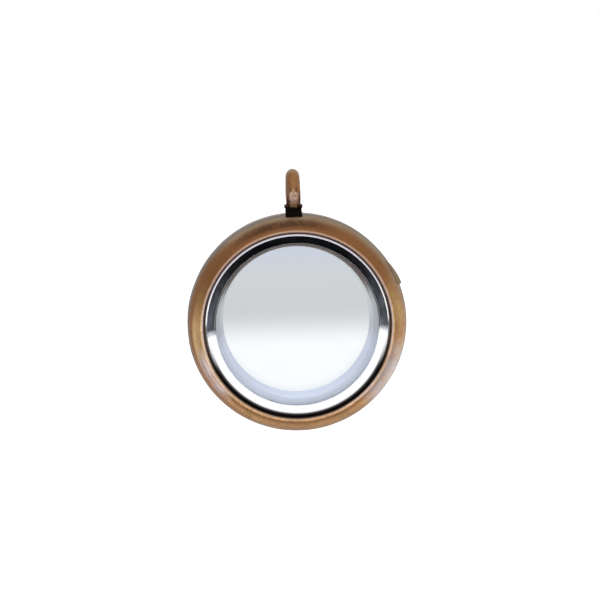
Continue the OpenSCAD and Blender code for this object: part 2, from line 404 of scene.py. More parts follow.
class Recipe:
    """A node tree and the shader in it, with short calls that add nodes."""

    def __init__(self, owner, shader):
        owner.use_nodes = True
        self.owner = owner
        self.tree = owner.node_tree
        self.shader = self.tree.nodes[shader]

    def add(self, kind, inputs=(), **settings):
        made = self.tree.nodes.new(kind)
        for key, value in settings.items():
            setattr(made, key, value)
        for key, value in dict(inputs).items():
            self.feed(made.inputs[key], value)
        return made

    def feed(self, socket, value):
        if isinstance(value, bpy.types.NodeSocket):
            self.tree.links.new(value, socket)
        else:
            socket.default_value = value

    def set(self, **values):
        """Feeds the shader's own inputs."""
        for key, value in values.items():
            self.feed(self.shader.inputs[key.replace("_", " ")], value)

    def math(self, operation, a, b=0.0, clamp=False):
        return self.add("ShaderNodeMath", {0: a, 1: b}, operation=operation, use_clamp=clamp).outputs[0]

    def times(self, *values):
        """The product of several values."""
        product = values[0]
        for value in values[1:]:
            product = self.math("MULTIPLY", product, value)
        return product

    def total(self, *values):
        """The sum of several values."""
        result = values[0]
        for value in values[1:]:
            result = self.math("ADD", result, value)
        return result

    def either(self, a, b):
        return self.math("MAXIMUM", a, b)

    def size(self, value):
        """A value without its sign."""
        return self.math("ABSOLUTE", value)

    def between(self, value, low, high, to_low=0.0, to_high=1.0):
        """Smooth step from to_low at low to to_high at high."""
        made = self.add(
            "ShaderNodeMapRange",
            {"Value": value, "From Min": low, "From Max": high, "To Min": to_low, "To Max": to_high},
            interpolation_type="SMOOTHSTEP",
        )
        return made.outputs["Result"]

    def mix(self, share, a, b):
        made = self.add("ShaderNodeMix", data_type="RGBA", clamp_factor=True)
        self.feed(made.inputs["Factor"], share)
        self.feed(made.inputs[6], a if isinstance(a, bpy.types.NodeSocket) else (*a, 1))
        self.feed(made.inputs[7], b if isinstance(b, bpy.types.NodeSocket) else (*b, 1))
        return made.outputs[2]

    def layered(self, colour, *layers):
        """A colour with others laid over it, each given as its share and the colour."""
        for share, over in layers:
            colour = self.mix(share, colour, over)
        return colour

    def grain(self, vector, scale, detail=3.0, rough=0.55, twist=0.0):
        made = self.add(
            "ShaderNodeTexNoise",
            {"Vector": vector, "Scale": scale, "Detail": detail, "Roughness": rough, "Distortion": twist},
        )
        return made.outputs["Fac"]

    def bump(self, height, distance_mm, strength):
        inputs = {"Height": height, "Distance": distance_mm * MM, "Strength": strength}
        return self.add("ShaderNodeBump", inputs).outputs["Normal"]

    def places(self, origin):
        """Coordinates in millimetres from an origin: the vector as spot, and its x, y and z."""
        here = self.add("ShaderNodeTexCoord").outputs["Object"]
        shift = tuple(-c * MM for c in origin)
        moved = self.add("ShaderNodeVectorMath", {0: here, 1: shift}, operation="ADD").outputs[0]
        scaling = {0: moved, "Scale": 1 / MM}
        spot = self.add("ShaderNodeVectorMath", scaling, operation="SCALE").outputs[0]
        x, y, z = self.add("ShaderNodeSeparateXYZ", {0: spot}).outputs
        return SimpleNamespace(spot=spot, x=x, y=y, z=z)

    def round_the_case(self):
        """The spot, its r and f, and across and up, the unit direction round the case's axis."""
        at = self.places(CASE)
        r = self.math("SQRT", self.total(self.times(at.x, at.x), self.times(at.z, at.z)))
        f = self.times(at.y, -1.0)
        off_axis = self.either(r, 0.001)
        across = self.math("DIVIDE", at.x, off_axis)
        up = self.math("DIVIDE", at.z, off_axis)
        return SimpleNamespace(spot=at.spot, r=r, f=f, across=across, up=up)

    def near_angle(self, at, degrees, reach):
        """1 at an angle round the case, falling to 0 at reach degrees from it."""
        a = math.radians(degrees)
        along = self.total(self.times(at.across, math.cos(a)), self.times(at.up, math.sin(a)))
        return self.between(along, math.cos(math.radians(reach)), 1.0)

    def inset(self, at, zone, *levels):
        """Smooth step over a zone that is given as two distances in from the case's outline."""
        return self.between(at.r, CASE_R - zone[0], CASE_R - zone[1], *levels)

    def streaks(self, at, round_scale, cross_scale):
        """Noise drawn out round the case, as polishing leaves it."""
        over_the_rim = self.total(at.r, self.times(at.f, 1.3))
        place = self.add(
            "ShaderNodeCombineXYZ",
            {
                0: self.times(at.across, round_scale),
                1: self.times(at.up, round_scale),
                2: self.times(over_the_rim, cross_scale),
            },
        )
        return self.grain(place.outputs[0], 1.0, 4.0, 0.6)


def surface(name):
    return Recipe(bpy.data.materials.new(name), "Principled BSDF")


COPPER_METAL = 0.9
COPPER_DEEP = (0.075, 0.032, 0.014)
COPPER_BROWN = (0.200, 0.085, 0.030)
COPPER_UMBER = (0.130, 0.055, 0.018)
COPPER_ORANGE = (0.590, 0.310, 0.140)
COPPER_TAN = (0.400, 0.215, 0.095)
COPPER_GOLD = (0.470, 0.290, 0.120)
# Colours of painted highlights low on the case: brassy gold, pink, rose and mauve.
COPPER_BRASSY = (0.660, 0.460, 0.240)
COPPER_PINK = (0.600, 0.490, 0.470)
COPPER_ROSE = (0.400, 0.345, 0.335)
COPPER_MAUVE = (0.280, 0.225, 0.245)
BAIL_PAINTED_HIGHLIGHT = (0.820, 0.580, 0.460)
# Colours of the painted highlight on the lip, at the bottom and on the upper part.
LIP_BELOW = (0.250, 0.200, 0.150)
LIP_ABOVE = (0.300, 0.200, 0.145)
GREY_PATINA_AND_SHEEN = (0.250, 0.190, 0.120)
OUTLINE_DARK = (0.050, 0.038, 0.026)
BORE_PAINTED_LIGHT = (0.700, 0.720, 0.780)
BLACKENED = (0.003, 0.002, 0.0015)
BLACKENED_WORN = (0.010, 0.006, 0.004)
BLACKENED_EAR = (0.060, 0.026, 0.018)
MIRROR = (0.950, 0.955, 0.970)
MIRROR_SMUDGED = (0.880, 0.890, 0.920)
MIRROR_PAINTED_SHADE = (0.055, 0.034, 0.025)
MIRROR_DIMMED_REFLECTION = (0.500, 0.470, 0.550)
# Painted shade for the outer part of the mirror rings, low down.
MIRROR_DARK = (0.030, 0.025, 0.028)
LINER = (0.880, 0.900, 0.970)
LINER_SMUDGED = (0.840, 0.860, 0.930)
# Painted shade: grey for the liner's upper part.
LINER_ABOVE = (0.660, 0.680, 0.680)
LINER_PAINTED_SHADE = (0.100, 0.060, 0.045)
WIRE_DARK = (0.070, 0.055, 0.045)
WIRE_WORN = (0.220, 0.180, 0.150)
NICKEL = (0.720, 0.710, 0.700)
NICKEL_DULL = (0.500, 0.490, 0.490)
RUBBER = (0.010, 0.010, 0.011)
RUBBER_WORN = (0.028, 0.026, 0.026)
GLASS = (0.845, 0.862, 0.875)
GLASS_FILM = (0.855, 0.868, 0.870)
GLASS_PAINTED_REFLECTION = (0.780, 0.810, 0.840)

# Zones of the case, from no effect to full effect, as distances in from its outline.
FACE_ZONE = (0.80, 1.50)
CROWN_INNER_ZONE = (1.90, 1.30)
CROWN_OUTER_ZONE = (0.40, 0.85)
PATINA_AND_SHEEN_ZONE = (1.10, 0.30)
SHADE_ZONE = (1.20, 0.70)
FOOT_ZONE = (1.10, 0.50)
GOLD_ZONE = (0.60, 1.00)
LEFT_ZONE = (0.70, 1.05)
PINK_ZONE = (1.20, 1.50)
RIGHT_ZONE = (0.02, 0.20)
HIGHLIGHT_ZONE = (2.20, 1.80)
LIP_ZONE = (2.00, 2.12)
SEAM_ZONE = (0.40, 0.15)
OUTLINE_DARK_ZONE = (0.40, 0.18)

# The same along the case's axis, as distances in front of its middle.
LIP_FRONT = (3.50, 3.75)
PATINA_AND_SHEEN_FRONT = (0.80, 2.40)
SEAM_FRONT = (2.25, 1.90)
OUTLINE_DARK_FRONT = (0.90, 1.30)

# Places round the case, as an angle and how far the effect reaches from it, in degrees.
CROWN_AT = (98, 36)
SHOULDER_AT = (150, 28)
GOLD_AT = (190, 20)
SHADE_AT = (192, 58)
LEFT_AT = (209, 20)
LIGHT_LIP_AT = (312, 20)
RIGHT_AT = (330, 24)


def case_ground(m, at, clouds, mottle):
    """Tan and gold in soft clouds, with painted shade in brown above and painted light in orange low on
    the face.
    """
    ground = m.mix(m.between(clouds, 0.35, 0.65), COPPER_TAN, COPPER_GOLD)
    # Painted shade: brown over the upper half. Painted light: orange low on the face.
    above = m.between(at.up, 0.05, 0.6)
    low = m.times(m.between(at.up, 0.15, -0.3), m.inset(at, FACE_ZONE))
    cloudy = m.between(clouds, 0.35, 0.65, 0.55, 0.9)
    spots = m.between(mottle, 0.45, 0.7)
    return m.layered(
        ground,
        (above, COPPER_BROWN),
        (m.times(low, cloudy), COPPER_ORANGE),
        (m.times(spots, 0.3), COPPER_BROWN),
    )


def case_darkened(m, at, colour, clouds, mottle, streak):
    """The dark crown under the bail, grey oxide with a painted sheen by the seam on the upper half, and
    painted shade at the side and the foot.
    """
    crown = m.times(
        m.near_angle(at, *CROWN_AT),
        m.inset(at, CROWN_INNER_ZONE),
        m.inset(at, CROWN_OUTER_ZONE),
        m.between(mottle, 0.33, 0.5, 0.35, 1.0),
    )
    # Grey oxide with a painted sheen of reflected grey, near the seam on the upper half.
    patina_and_sheen = m.times(
        m.inset(at, PATINA_AND_SHEEN_ZONE),
        m.between(m.size(at.f), *PATINA_AND_SHEEN_FRONT, 0.45, 1.0),
        m.between(at.up, -0.15, 0.35),
        m.between(at.across, -0.85, -0.6),
        m.between(streak, 0.15, 0.5, 0.5, 1.0),
        m.between(clouds, 0.3, 0.6, 0.6, 1.0),
    )
    # Painted shade: brown over the outer left side, and low at the foot.
    shade = m.times(m.inset(at, SHADE_ZONE), m.near_angle(at, *SHADE_AT))
    shoulder = m.near_angle(at, *SHOULDER_AT)
    foot = m.times(m.inset(at, FOOT_ZONE), m.between(at.up, -0.45, -0.8))
    return m.layered(
        colour,
        (crown, COPPER_DEEP),
        (m.times(patina_and_sheen, 0.85), GREY_PATINA_AND_SHEEN),
        (m.times(shade, 0.95), COPPER_BROWN),
        (m.times(shoulder, 0.55), COPPER_UMBER),
        (m.times(foot, 0.6), COPPER_BROWN),
    )


def case_painted_highlights(m, at, colour, speck, streak):
    """Painted highlights: grainy gold low at the left side, mauve and pink low at the left, rose low at
    the right, and a thin highlight along the lip.

    Gives the colour, how smooth the metal is there, and how far it is dulled.
    """
    speckled = m.between(speck, 0.4, 0.6, 0.25, 0.85)
    # Painted highlights: grainy gold, mauve and pink low at the left, and rose low at the right.
    gold = m.times(m.near_angle(at, *GOLD_AT), m.inset(at, GOLD_ZONE), speckled)
    highlight_grain = m.times(m.inset(at, HIGHLIGHT_ZONE), m.between(streak, 0.35, 0.6, 0.6, 1.0))
    left = m.times(m.near_angle(at, *LEFT_AT), m.inset(at, LEFT_ZONE), highlight_grain)
    right = m.times(m.near_angle(at, *RIGHT_AT), m.inset(at, RIGHT_ZONE, 0.3, 1.0), highlight_grain)
    pink = m.inset(at, PINK_ZONE)

    # Painted highlight along the lip: darker on the upper part, rose at the sides and low at the right,
    # duller at the bottom.
    edge = m.inset(at, LIP_ZONE)
    above = m.between(at.up, 0.2, 0.6)
    lip = m.times(edge, m.between(m.size(at.f), *LIP_FRONT), m.between(streak, 0.2, 0.5, 0.3, 0.5))
    light = m.either(m.between(at.up, -0.5, 0.0), m.near_angle(at, *LIGHT_LIP_AT))
    lip_colour = m.mix(above, m.mix(light, LIP_BELOW, COPPER_ROSE), LIP_ABOVE)

    colour = m.layered(
        colour,
        (gold, COPPER_BRASSY),
        (left, m.mix(pink, COPPER_MAUVE, COPPER_PINK)),
        (right, COPPER_ROSE),
        (m.times(lip, 1.6), lip_colour),
    )
    dulled = m.total(m.times(left, pink, 0.45), m.times(right, 0.25), m.times(edge, above, 0.5))
    return colour, m.either(left, lip), dulled


def case_recesses(m, at, colour, speck):
    """The dark seam, darkening along the outline of the front, painted shade on the window's wall, and
    painted light on the bore behind the glass.
    """
    seam = m.times(m.inset(at, SEAM_ZONE), m.between(at.f, *SEAM_FRONT))
    # Darker along the outline of the front, most at the left.
    outline_darkening = m.times(
        m.inset(at, OUTLINE_DARK_ZONE),
        m.between(at.f, *OUTLINE_DARK_FRONT),
        m.between(at.up, -0.75, -0.4, 0.3, 0.9),
        m.between(at.across, 0.2, -0.4, 0.5, 1.0),
    )
    # Painted shade on the window's wall, strong low and at the sides, weak at the top.
    wall = m.times(m.between(at.r, WINDOW_R + 0.03, WINDOW_R), m.between(at.up, 0.2, 0.6, 0.85, 0.2))
    # Painted light: pale steel grey on the bore behind the glass, to take away its shade.
    bore = m.between(at.r, LINER_R + 0.15, LINER_R + 0.05)
    pits = m.between(speck, 0.62, 0.75)
    colour = m.layered(
        colour,
        (m.times(seam, 0.6), COPPER_DEEP),
        (outline_darkening, OUTLINE_DARK),
        (wall, COPPER_DEEP),
        (bore, BORE_PAINTED_LIGHT),
        (m.times(pits, 0.3), COPPER_DEEP),
    )
    return colour, outline_darkening


def case_copper():
    """Aged copper of the case: painted shade in brown above, tan at the sides, painted highlights on the
    lip and low down.
    """
    m = surface("aged_copper_case")
    at = m.round_the_case()
    clouds = m.grain(at.spot, 0.5, 4.0, 0.6, 0.4)
    mottle = m.grain(at.spot, 1.9, 5.0, 0.65, 0.6)
    speck = m.grain(at.spot, 11.0, 3.0, 0.6)
    streak = m.streaks(at, 9.0, 6.0)

    colour = case_ground(m, at, clouds, mottle)
    colour = case_darkened(m, at, colour, clouds, mottle, streak)
    colour, smooth, dulled = case_painted_highlights(m, at, colour, speck, streak)
    colour, outline_darkening = case_recesses(m, at, colour, speck)

    dulled = m.math("ADD", dulled, m.times(outline_darkening, 0.75), clamp=True)
    rough = m.math("SUBTRACT", m.between(mottle, 0.3, 0.7, 0.36, 0.52), m.times(smooth, 0.08))
    relief = m.total(m.times(streak, 0.6), m.times(speck, 0.4))
    m.set(
        Base_Color=colour,
        Metallic=m.math("SUBTRACT", COPPER_METAL, dulled, clamp=True),
        Roughness=rough,
        Coat_Weight=0.08,
        Coat_Roughness=0.2,
        Coat_IOR=1.45,
        Normal=m.bump(relief, 0.006, 0.5),
    )
    return m.owner


def bail_copper():
    """Aged copper of the bail: brown, with a painted highlight low on the front, painted light lower
    down, grey oxide with a painted sheen on top, and painted shade at the left, at the lower right and
    where it goes into the lug.
    """
    m = surface("aged_copper_bail")
    at = m.places((0, 0, 0))
    mottle = m.grain(at.spot, 1.6, 5.0, 0.6, 0.8)
    fine = m.grain(at.spot, 9.0, 4.0, 0.6)
    aside = m.size(at.x)
    ragged = m.total(at.z, m.between(mottle, 0.3, 0.7, -0.5, 0.5))
    # Painted highlight low on the front of the band, ragged at its edges.
    painted_highlight = m.times(
        m.between(ragged, -0.3, -1.2),
        m.between(ragged, -2.6, -2.0),
        m.between(aside, 0.85, 0.4),
        m.between(fine, 0.4, 0.6, 0.35, 1.0),
    )
    # Painted light: lighter tan low on the band.
    under = m.times(m.between(at.z, -1.8, -2.2), m.between(aside, 0.9, 0.7))
    # Grey oxide with a painted sheen on the top.
    top = m.between(at.z, 1.7, 2.3)
    # Painted shade on the left side and at the lower right.
    left = m.between(at.x, -0.2, -0.9)
    right_low_shade = m.times(m.between(at.x, 0.6, 0.9), m.between(at.z, 0.0, -0.8))
    colour = m.layered(
        m.mix(m.between(mottle, 0.3, 0.7, 0.0, 0.4), COPPER_BROWN, COPPER_TAN),
        (painted_highlight, BAIL_PAINTED_HIGHLIGHT),
        (m.times(under, 0.6), COPPER_TAN),
        (m.times(top, 0.5), GREY_PATINA_AND_SHEEN),
        (m.times(left, 0.55), COPPER_DEEP),
        (m.times(right_low_shade, 0.7), COPPER_DEEP),
        # Painted shade where the band goes down into the lug.
        (m.between(at.z, -2.65, -2.8), COPPER_DEEP),
    )
    dulled = m.times(m.either(painted_highlight, under), 0.5)
    m.set(
        Base_Color=colour,
        Metallic=m.math("SUBTRACT", COPPER_METAL, dulled),
        Roughness=m.between(mottle, 0.3, 0.7, 0.30, 0.45),
        Coat_Weight=0.08,
        Coat_Roughness=0.2,
        Normal=m.bump(m.total(mottle, m.times(fine, 0.5)), 0.01, 0.5),
    )
    return m.owner


def dark_copper():
    """Blackened copper of the lug, rubbed brown on the tops of its ears."""
    m = surface("blackened_copper")
    at = m.places(CASE)
    mottle = m.grain(at.spot, 2.2, 5.0, 0.65, 0.5)
    fine = m.grain(at.spot, 14.0, 3.0, 0.6)
    pin_height = PIN_DROP - CASE.z
    colour = m.layered(
        m.mix(m.between(mottle, 0.5, 0.75), BLACKENED, BLACKENED_WORN),
        (m.between(at.z, pin_height - 0.1, pin_height + 0.1), BLACKENED_EAR),
    )
    m.set(
        Base_Color=colour,
        Metallic=0.3,
        Roughness=m.between(fine, 0.3, 0.7, 0.55, 0.75),
        Specular_IOR_Level=0.05,
        Normal=m.bump(fine, 0.01, 0.6),
    )
    return m.owner


def hinge_copper():
    """Aged copper of the knuckles, darker in the recess that they sit in."""
    m = surface("aged_copper_hinge")
    at = m.places(CASE)
    mottle = m.grain(at.spot, 3.0, 5.0, 0.6, 0.5)
    fine = m.grain(at.spot, 13.0, 3.0, 0.6)
    hinge_at = HINGE_X - CASE.x
    outside = m.between(at.x, hinge_at + 0.2, hinge_at - KNUCKLE_R)
    colour = m.layered(
        m.mix(m.between(mottle, 0.4, 0.65), COPPER_DEEP, COPPER_BROWN),
        (m.times(outside, m.between(fine, 0.35, 0.6)), COPPER_TAN),
    )
    m.set(
        Base_Color=colour,
        Metallic=COPPER_METAL,
        Roughness=m.between(fine, 0.3, 0.7, 0.3, 0.5),
        Normal=m.bump(fine, 0.008, 0.5),
    )
    return m.owner


def polished_steel():
    """Mirror steel of the window rings, with smudges, a painted dark line inside on the upper half, a
    painted dimmer reflection on the ridge above, and painted shade under the lip below.
    """
    m = surface("polished_steel")
    at = m.round_the_case()
    wave = m.grain(at.spot, 0.9, 3.0, 0.5, 0.6)
    smudge = m.grain(at.spot, 2.8, 5.0, 0.6, 0.8)
    line = m.streaks(at, 14.0, 10.0)
    # Painted shade: a dark brown line along the inner edge over the upper half.
    inner = m.times(m.between(at.r, RING_IN + 0.22, RING_IN + 0.06), m.between(at.up, -0.15, 0.0))
    # Painted reflection: the ridge's bright line dimmed to lavender over the upper part.
    dimmed_ridge = m.times(m.between(at.r, RIDGE_R - 0.1, RIDGE_R), m.between(at.up, 0.2, 0.6))
    # Painted shade: the outer part dark low down, under the lip.
    outer = m.times(m.between(at.r, RIDGE_R - 0.38, RIDGE_R - 0.1), m.between(at.up, -0.1, -0.5))
    colour = m.layered(
        m.mix(m.between(smudge, 0.35, 0.7), MIRROR, MIRROR_SMUDGED),
        (inner, MIRROR_PAINTED_SHADE),
        (m.times(dimmed_ridge, 0.8), MIRROR_DIMMED_REFLECTION),
        (outer, MIRROR_DARK),
    )
    m.set(
        Base_Color=colour,
        Metallic=m.math("SUBTRACT", 1.0, m.times(inner, 0.6)),
        Roughness=m.between(smudge, 0.4, 0.75, 0.03, 0.08),
        Normal=m.bump(m.total(wave, m.times(line, 0.02)), 0.02, 0.3),
    )
    return m.owner


def liner_steel():
    """Polished steel of the chamber liner, with painted shade: greyer over its upper part and brown at
    the top of its flared mouth, where it meets the cover.
    """
    m = surface("liner_steel")
    at = m.round_the_case()
    smudge = m.grain(at.spot, 1.9, 5.0, 0.6, 0.8)
    line = m.streaks(at, 12.0, 9.0)
    flare_end = LINER_FRONT - LINER_FLARE
    # Painted shade: brown at the top of the flared mouth.
    mouth = m.times(m.between(at.f, flare_end - 0.1, flare_end), m.between(at.up, 0.2, 0.6))
    colour = m.layered(
        m.mix(m.between(smudge, 0.35, 0.7), LINER, LINER_SMUDGED),
        # Painted shade: greyer over the upper part.
        (m.between(at.up, -0.35, 0.0), LINER_ABOVE),
        (mouth, LINER_PAINTED_SHADE),
    )
    m.set(
        Base_Color=colour,
        Metallic=1.0,
        Roughness=m.between(smudge, 0.3, 0.75, 0.30, 0.34),
        Normal=m.bump(line, 0.0004, 0.3),
    )
    return m.owner


def plain_finish(name, origin, scale, colours, spread, roughness, relief, strength, metallic=1.0):
    """A finish of two colours and a little relief that follow one fine noise."""
    m = surface(name)
    fine = m.grain(m.places(origin).spot, scale, 4.0, 0.6)
    m.set(
        Base_Color=m.mix(m.between(fine, *spread), *colours),
        Metallic=metallic,
        Roughness=m.between(fine, 0.3, 0.7, *roughness),
        Normal=m.bump(fine, relief, strength),
    )
    return m.owner


def pin_steel():
    """Darkened wire of the pins."""
    colours = (WIRE_DARK, WIRE_WORN)
    return plain_finish("pin_steel", (0, 0, 0), 10.0, colours, (0.4, 0.65), (0.28, 0.45), 0.006, 0.4)


def magnet_nickel():
    """Nickel plate of the magnets."""
    colours = (NICKEL, NICKEL_DULL)
    return plain_finish("magnet_nickel", CASE, 7.0, colours, (0.35, 0.7), (0.16, 0.32), 0.004, 0.4)


def seal_rubber():
    """Matt black gasket."""
    colours = (RUBBER, RUBBER_WORN)
    return plain_finish("seal_rubber", CASE, 12.0, colours, (0.35, 0.7), (0.55, 0.75), 0.01, 0.6, 0.0)


def window_glass():
    """Clear glass with the faintest film of fingerprints, and a painted bluish reflection low at the rear
    glass's edge.
    """
    m = surface("window_glass")
    at = m.round_the_case()
    film = m.grain(at.spot, 0.35, 3.0, 0.5, 0.7)
    # Painted reflection: a bluish crescent low at the rear glass's edge.
    edge = m.times(m.between(at.r, 9.0, 10.2), m.between(at.up, -0.2, -0.6), m.between(at.f, 0.1, -0.1))
    colour = m.layered(
        m.mix(m.between(film, 0.3, 0.7), GLASS, GLASS_FILM),
        (edge, GLASS_PAINTED_REFLECTION),
    )
    m.set(Base_Color=colour, Metallic=0.0, Roughness=0.0, IOR=1.5, Transmission_Weight=1.0)
    return m.owner


# ---- pieces of the case ----


def outer_arc(from_f, steps):
    """Points on the rounded outside of the front half, from the distance from_f to the land."""
    start = math.degrees(math.asin((from_f - ARC_F) / EDGE_R))
    end = math.degrees(math.acos((LAND_OUT - ARC_R) / EDGE_R))
    return arc((ARC_R, ARC_F), EDGE_R, start, end, steps)


def lip_outline():
    """From the land, over the burnished lip that just overhangs the gasket, down the window's wall."""
    return rounded([
        (LAND_OUT - 0.02, HALF_T, 0), (WINDOW_R + LIP - OVERHANG, HALF_T, 0.05),
        (WINDOW_R - OVERHANG, HALF_T - LIP, 0.06), (WINDOW_R - OVERHANG, SEAL_TOP + 0.12, 0.04),
        (WINDOW_R, SEAL_TOP + 0.04, 0.03), (WINDOW_R, GLASS_IN, 0),
    ])


def bezel_section():
    edge = outer_arc(COVER_FACE, 26)
    at_seam = edge[0][0]
    seam_corner = [(at_seam - SEAM_SOFT, COVER_FACE), (at_seam - SEAM_STEP, COVER_FACE + SEAM_STEP)]
    return [(LINER_R, COVER_FACE), *seam_corner, *edge[1:], *lip_outline(), (LINER_R, GLASS_IN)]


def case_section():
    at_seam = outer_arc(CASE_FACE, 4)[0][0]
    front_corner = [(at_seam - SEAM_SOFT, CASE_FACE), (at_seam - SEAM_STEP, CASE_FACE - 0.02)]
    shoulder = [p for p in outer_arc(ARC_F, 8) if p[1] < CASE_FACE - SEAM_SOFT][::-1]
    back = [(r, -f) for r, f in outer_arc(ARC_F, 30)]
    lip = [(r, -f) for r, f in lip_outline()]
    return [(LINER_R, CASE_FACE), *front_corner, *shoulder, *back, *lip, (LINER_R, -GLASS_IN)]


def ring_section():
    return rounded([
        (RING_IN, GLASS_OUT, 0), (GLASS_R, GLASS_OUT, 0), (GLASS_R, SEAL_TOP + RING_LIFT, 0),
        (GLASS_R + RING_REACH, SEAL_TOP + RING_LIFT, 0), (GLASS_R + RING_REACH, RING_WALL, 0.03),
        (RIDGE_R, RIDGE_F, 0.05), (RING_IN, RING_EDGE, 0.03),
    ])


def seal_section():
    return rounded([
        (GLASS_R, GLASS_IN, 0), (WINDOW_R, GLASS_IN, 0),
        (WINDOW_R, SEAL_TOP, 0.09), (GLASS_R, SEAL_TOP, 0.09),
    ])


def glass_outline():
    flat_r = GLASS_R - GLASS_SOFT
    return [
        (0, GLASS_OUT), (GLASS_R / 2, GLASS_OUT), (flat_r, GLASS_OUT), (GLASS_R, GLASS_OUT - GLASS_SOFT),
        (GLASS_R, GLASS_IN + GLASS_SOFT), (flat_r, GLASS_IN), (GLASS_R / 2, GLASS_IN), (0, GLASS_IN),
    ]


def magnet_rods(face, direction, grow=0.0):
    """Rods for the magnets, or for their pockets, from a seam face into the rim."""
    rods = []
    for degrees in MAGNET_ANGLES:
        a = math.radians(degrees)
        x = CASE.x + MAGNET_AT * math.cos(a)
        z = CASE.z + MAGNET_AT * math.sin(a)
        middle = (x, CASE.y - face - direction * (MAGNET_L - grow) / 2, z)
        rods.append(rod(MAGNET_R, MAGNET_L + grow, middle, (0, 1, 0), 48, 0.0 if grow else MAGNET_SOFT))
    return rods


def joined(builds):
    """Several shapes in one bmesh."""
    result = bmesh.new()
    for build in builds:
        mesh = bpy.data.meshes.new("part")
        build.to_mesh(mesh)
        build.free()
        result.from_mesh(mesh)
        bpy.data.meshes.remove(mesh)
    return result


def tab_outline(steps=24):
    """Nail tab seen from the front: steep at its lower end, running out into the rim at its upper end."""
    tip, end = CASE_R + TAB_PROUD, CASE_R - TAB_SINK
    offset = (tip**2 - end**2) / (2 * (tip - end * math.cos(math.radians(TAB_SPAN))))
    radius = tip - offset
    start = math.radians(TAB_FROM)
    centre = Vector((offset * math.cos(start), offset * math.sin(start)))
    outer, inner = [], []
    for i in range(steps + 1):
        a = math.radians(TAB_FROM + TAB_SPAN * i / steps)
        way = Vector((math.cos(a), math.sin(a)))
        along = way.dot(centre)
        reach = along + math.sqrt(along**2 - centre.length_squared + radius**2)
        outer.append(tuple(way * reach))
        inner.append(tuple(way * TAB_ROOT))
    return outer + inner[::-1]


def tab_build():
    turn = Matrix.Translation(CASE) @ Matrix.Rotation(math.radians(90), 4, "X")
    return prism(tab_outline(), COVER_FACE, COVER_FACE + TAB_T, turn)


def hinge_rod(radius, length, z=0.0, round_by=0.0):
    return rod(radius, length, (HINGE_X, HINGE_Y, CASE.z + z), (0, 0, 1), round_by=round_by)


def cuts(builds):
    """Boolean steps that take several shapes away."""
    return [("DIFFERENCE", build) for build in builds]


def make_front(copper, steel, rubber, glass, nickel, hinge):
    body = "front_cover"
    relief = block(
        (-LUG_HALF - RELIEF_GAP, CASE.y - HALF_T - PAST, CASE.z + CASE_R - RELIEF_DEPTH),
        (LUG_HALF + RELIEF_GAP, CASE.y, CASE.z + CASE_R + PAST),
    )
    cutters = cuts([relief, *magnet_rods(COVER_FACE, 1, POCKET_SPARE)])
    bezel = worn(combined(lathe(bezel_section()), *cutters), *CASE_WEAR)
    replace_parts(new_piece("bezel", bezel, body, copper), "front_bezel")
    tab = softened(tab_build(), TAB_SOFT, 4)
    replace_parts(new_piece("opening_tab", tab, body, copper), "nail_tab")
    seal = lathe(seal_section())
    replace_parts(new_piece("front_seal", seal, body, rubber), "front_gasket")
    ring = lathe(ring_section())
    ring = new_piece("front_mirror_ring", ring, body, steel, RING_SHARP_DEG)
    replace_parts(ring, "front_window_ring")
    pane = disc(glass_outline())
    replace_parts(new_piece("front_pane", pane, body, glass), "front_glass")
    magnets = joined(magnet_rods(COVER_FACE, 1))
    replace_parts(new_piece("cover_magnets", magnets, body, nickel), "front_magnets")

    leaf = block(
        (HINGE_X - LEAF_LEFT, bezel_high.y, CASE.z - COVER_KNUCKLE_L / 2),
        (HINGE_X - LEAF_LEFT + LEAF_W, HINGE_Y, CASE.z + COVER_KNUCKLE_L / 2),
    )
    pin_hole = hinge_rod(HINGE_PIN_R + RUNNING_GAP, COVER_KNUCKLE_L + PAST)
    knuckle = combined(hinge_rod(KNUCKLE_R, COVER_KNUCKLE_L), ("UNION", leaf), ("DIFFERENCE", pin_hole))
    knuckle = softened(knuckle, KNUCKLE_SOFT)
    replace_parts(new_piece("cover_knuckle", knuckle, body, hinge), "front_knuckle")


def make_rear(copper, steel, liner, rubber, glass, nickel, hinge, wire):
    body = "rear_case"
    foot = block(
        (-LUG_HALF, CASE.y - CASE_FACE - PAST, lug_low.z),
        (LUG_HALF, lug_high.y, CASE.z + CASE_R + PAST),
    )
    groove = hinge_rod(GROOVE_R, HINGE_L + 0.1)
    cutters = cuts([foot, groove, *magnet_rods(CASE_FACE, -1, POCKET_SPARE)])
    shell = worn(combined(lathe(case_section()), *cutters), *CASE_WEAR)
    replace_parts(new_piece("case_rim", shell, body, copper), "rear_case")
    seal = lathe(mirrored(seal_section()))
    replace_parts(new_piece("rear_seal", seal, body, rubber), "rear_gasket")
    ring = lathe(mirrored(ring_section()))
    ring = new_piece("rear_mirror_ring", ring, body, steel, RING_SHARP_DEG)
    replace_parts(ring, "rear_window_ring")
    pane = disc([(r, -f) for r, f in glass_outline()])
    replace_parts(new_piece("rear_pane", pane, body, glass), "rear_glass")
    magnets = joined(magnet_rods(CASE_FACE, -1))
    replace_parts(new_piece("case_magnets", magnets, body, nickel), "rear_magnets")
    sleeve = lathe(rounded([
        (LINER_BACK_R, -GLASS_IN, 0), (LINER_R, -GLASS_IN, 0), (LINER_R, LINER_FRONT, 0.02),
        (LINER_MOUTH_R, LINER_FRONT, 0.03), (LINER_FRONT_R, LINER_FRONT - LINER_FLARE, 0.2),
    ]))
    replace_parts(new_piece("liner", sleeve, body, liner), "chamber_liner")
    knuckles = joined([side_knuckle(-1), side_knuckle(1)])
    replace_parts(new_piece("case_knuckles", knuckles, body, hinge), "rear_knuckles")
    pin = hinge_rod(HINGE_PIN_R - 0.005, HINGE_L, round_by=PIN_SOFT)
    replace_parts(new_piece("hinge_wire", pin, body, wire), "hinge_pin")


